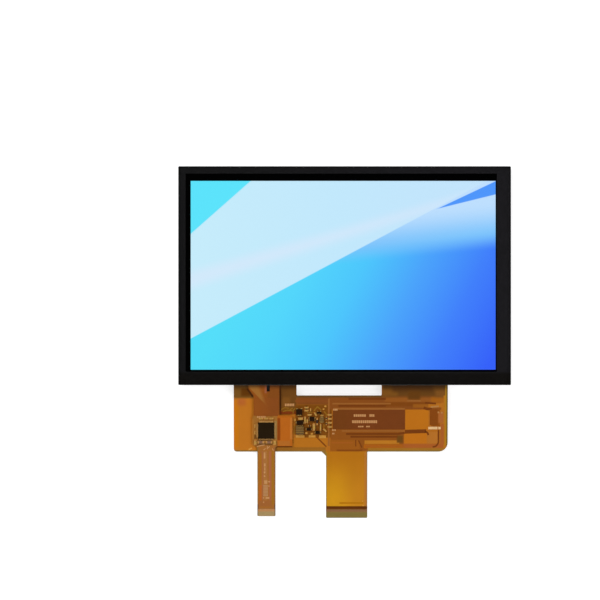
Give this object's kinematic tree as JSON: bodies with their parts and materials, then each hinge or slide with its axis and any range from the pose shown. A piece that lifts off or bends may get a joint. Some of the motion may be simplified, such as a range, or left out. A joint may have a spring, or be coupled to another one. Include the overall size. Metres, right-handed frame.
{
  "type": "display module with touch panel",
  "caption": "Flat colour display module with a bonded touch panel, a lit blue picture and two amber flexible circuits below.",
  "frame": {"origin": "middle of the rear shell's back face, which lies on the table", "axes": "+X to the right of the picture, +Y to the top of the picture, +Z out of the screen"},
  "size_m": [0.1648, 0.1746, 0.0072],
  "materials": {
    "cover_glass": "polished",
    "sensor_glass": "polished",
    "clear_adhesive": "clear",
    "border_black": "printed",
    "gasket_black": "foam",
    "bezel_steel": "satin",
    "front_film": "anti-glare",
    "cell_glass": "polished",
    "screen": "lit picture",
    "mask_black": "printed",
    "back_film": "clear",
    "driver_silicon": "ground",
    "rim_tape_black": "tape",
    "frame_white": "moulded",
    "light_film": "frosted",
    "guide_acrylic": "polished",
    "mirror_film": "bright white",
    "lamp_body": "moulded",
    "strip_amber": "film",
    "strip_tape_white": "foam",
    "shell_steel": "satin",
    "main_amber": "film",
    "main_brown": "film over copper",
    "contact_gold": "plated",
    "stiffener_amber": "film",
    "slot_black": "tape",
    "pad_gold": "plated",
    "ceramic_tan": "fired",
    "resistor_black": "glazed",
    "end_tin": "plated",
    "chip_black": "moulded",
    "diode_black": "moulded",
    "lead_tin": "plated",
    "coil_grey": "moulded",
    "solder_bright": "soldered",
    "touch_amber": "film",
    "touch_brown": "film over copper",
    "touch_gold": "plated",
    "controller_black": "moulded",
    "controller_gold": "plated"
  },
  "bodies": {
    "root": {"cover_lens": "cover_glass", "border_ink": "border_black", "optical_adhesive": "clear_adhesive", "touch_sensor": "sensor_glass", "gasket_tape": "gasket_black", "front_bezel": "bezel_steel", "front_polariser": "front_film", "colour_filter_glass": "cell_glass", "pixel_layer": "screen", "black_mask": "mask_black", "array_glass": "cell_glass", "rear_polariser": "back_film", "driver_chips": "driver_silicon", "rim_tape": "rim_tape_black", "mould_frame": "frame_white", "upper_prism_film": "light_film", "lower_prism_film": "light_film", "diffuser_film": "light_film", "light_guide": "guide_acrylic", "reflector_film": "mirror_film", "lamps": "lamp_body", "lamp_strip": "strip_amber", "strip_tape": "strip_tape_white", "rear_shell": "shell_steel", "main_flex": "main_amber", "main_copper": "main_brown", "main_contact_strips": "contact_gold", "main_stiffener": "stiffener_amber", "parts_stiffener": "stiffener_amber", "slot_tape": "slot_black", "part_pads": "pad_gold", "capacitors": "ceramic_tan", "resistors": "resistor_black", "chip_ends": "end_tin", "moulded_chips": "chip_black", "moulded_diode": "diode_black", "part_leads": "lead_tin", "storage_coil": "coil_grey", "coil_ends": "lead_tin", "lamp_solder": "solder_bright", "touch_flex": "touch_amber", "touch_copper": "touch_brown", "touch_contact_strips": "touch_gold", "touch_stiffener": "stiffener_amber", "controller_stiffener": "stiffener_amber", "controller_pads": "controller_gold", "controller_chip": "controller_black", "touch_part_pads": "pad_gold", "touch_capacitors": "ceramic_tan", "touch_resistors": "resistor_black", "touch_chip_ends": "end_tin"}
  },
  "joints": []
}
